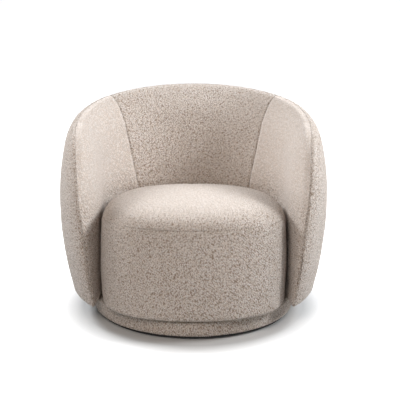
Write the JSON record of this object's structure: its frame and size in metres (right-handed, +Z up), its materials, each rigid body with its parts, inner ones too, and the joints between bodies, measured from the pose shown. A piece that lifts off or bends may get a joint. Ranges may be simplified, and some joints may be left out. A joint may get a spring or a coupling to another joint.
{
  "type": "swivel tub chair",
  "caption": "Low round tub chair in looped boucle cloth: a wrap-round padded back and arms, a tight round seat and a drum plinth on a hidden ball-bearing swivel.",
  "frame": {"origin": "On the floor, on the vertical axis that the chair swivels about, which is the middle of the round plinth.", "axes": "+X points to the right of someone who stands in front and looks at the chair, -Y points out of the open front, +Y to the back, and +Z points up."},
  "size_m": [0.8418, 0.7642, 0.668],
  "materials": {
    "boucle": "looped wool-mix boucle, greige, matt and nubby",
    "birch_plywood": "raw birch plywood, sanded",
    "foam": "cream polyurethane foam and polyester wadding",
    "felt_and_board": "grey-brown felt and fibreboard liner",
    "black_cloth": "black non-woven dust cloth",
    "black_rubber": "black rubber sheet, matt",
    "black_paint": "board stained black",
    "zinc_steel": "zinc-plated steel",
    "cage_brass": "pressed brass strip"
  },
  "bodies": {
    "base": {"floor_pad": "black_rubber", "base_board": "black_paint", "plinth_ring": "birch_plywood", "plinth_blocks": "birch_plywood", "plinth_top_board": "birch_plywood", "plinth_padding": "foam", "plinth_cover": "boucle", "lower_swivel_plate": "zinc_steel", "lower_plate_screws": "zinc_steel", "king_pin": "zinc_steel"},
    "cage": {"ball_cage": "cage_brass", "bearing_balls": "zinc_steel"},
    "chair": {"upper_swivel_plate": "zinc_steel", "upper_plate_bolts": "zinc_steel", "tee_nuts": "zinc_steel", "deck_board": "birch_plywood", "dust_cover": "black_cloth", "deck_screws": "zinc_steel", "seat_front_rail": "birch_plywood", "seat_side_rails": "birch_plywood", "seat_rear_rail": "birch_plywood", "seat_corner_blocks": "birch_plywood", "seat_springs": "zinc_steel", "spring_clips": "zinc_steel", "spring_felt": "felt_and_board", "seat_foam": "foam", "seat_border_cover": "boucle", "seat_top_cover": "boucle", "shell_base_rail": "birch_plywood", "shell_middle_rail": "birch_plywood", "shell_top_rail": "birch_plywood", "lower_ribs": "birch_plywood", "upper_ribs": "birch_plywood", "arm_front_posts": "birch_plywood", "crest_formers": "birch_plywood", "outer_liner": "felt_and_board", "inner_liner": "felt_and_board", "outer_padding": "foam", "back_foam": "foam", "left_arm_foam": "foam", "right_arm_foam": "foam", "inside_back_cover": "boucle", "left_arm_cover": "boucle", "right_arm_cover": "boucle", "outside_cover": "boucle"}
  },
  "joints": [
    {"name": "swivel", "type": "hinge", "parent": "base", "child": "chair", "pos_m": [0, 0, 0.06], "axis": [0, 0, 1], "continuous": true},
    {"name": "cage_roll", "type": "hinge", "parent": "base", "child": "cage", "pos_m": [0, 0, 0.06], "axis": [0, 0, 1], "continuous": true}
  ],
  "couplings": [
    {"joint": "cage_roll", "follows": "swivel", "ratio": 0.5}
  ]
}
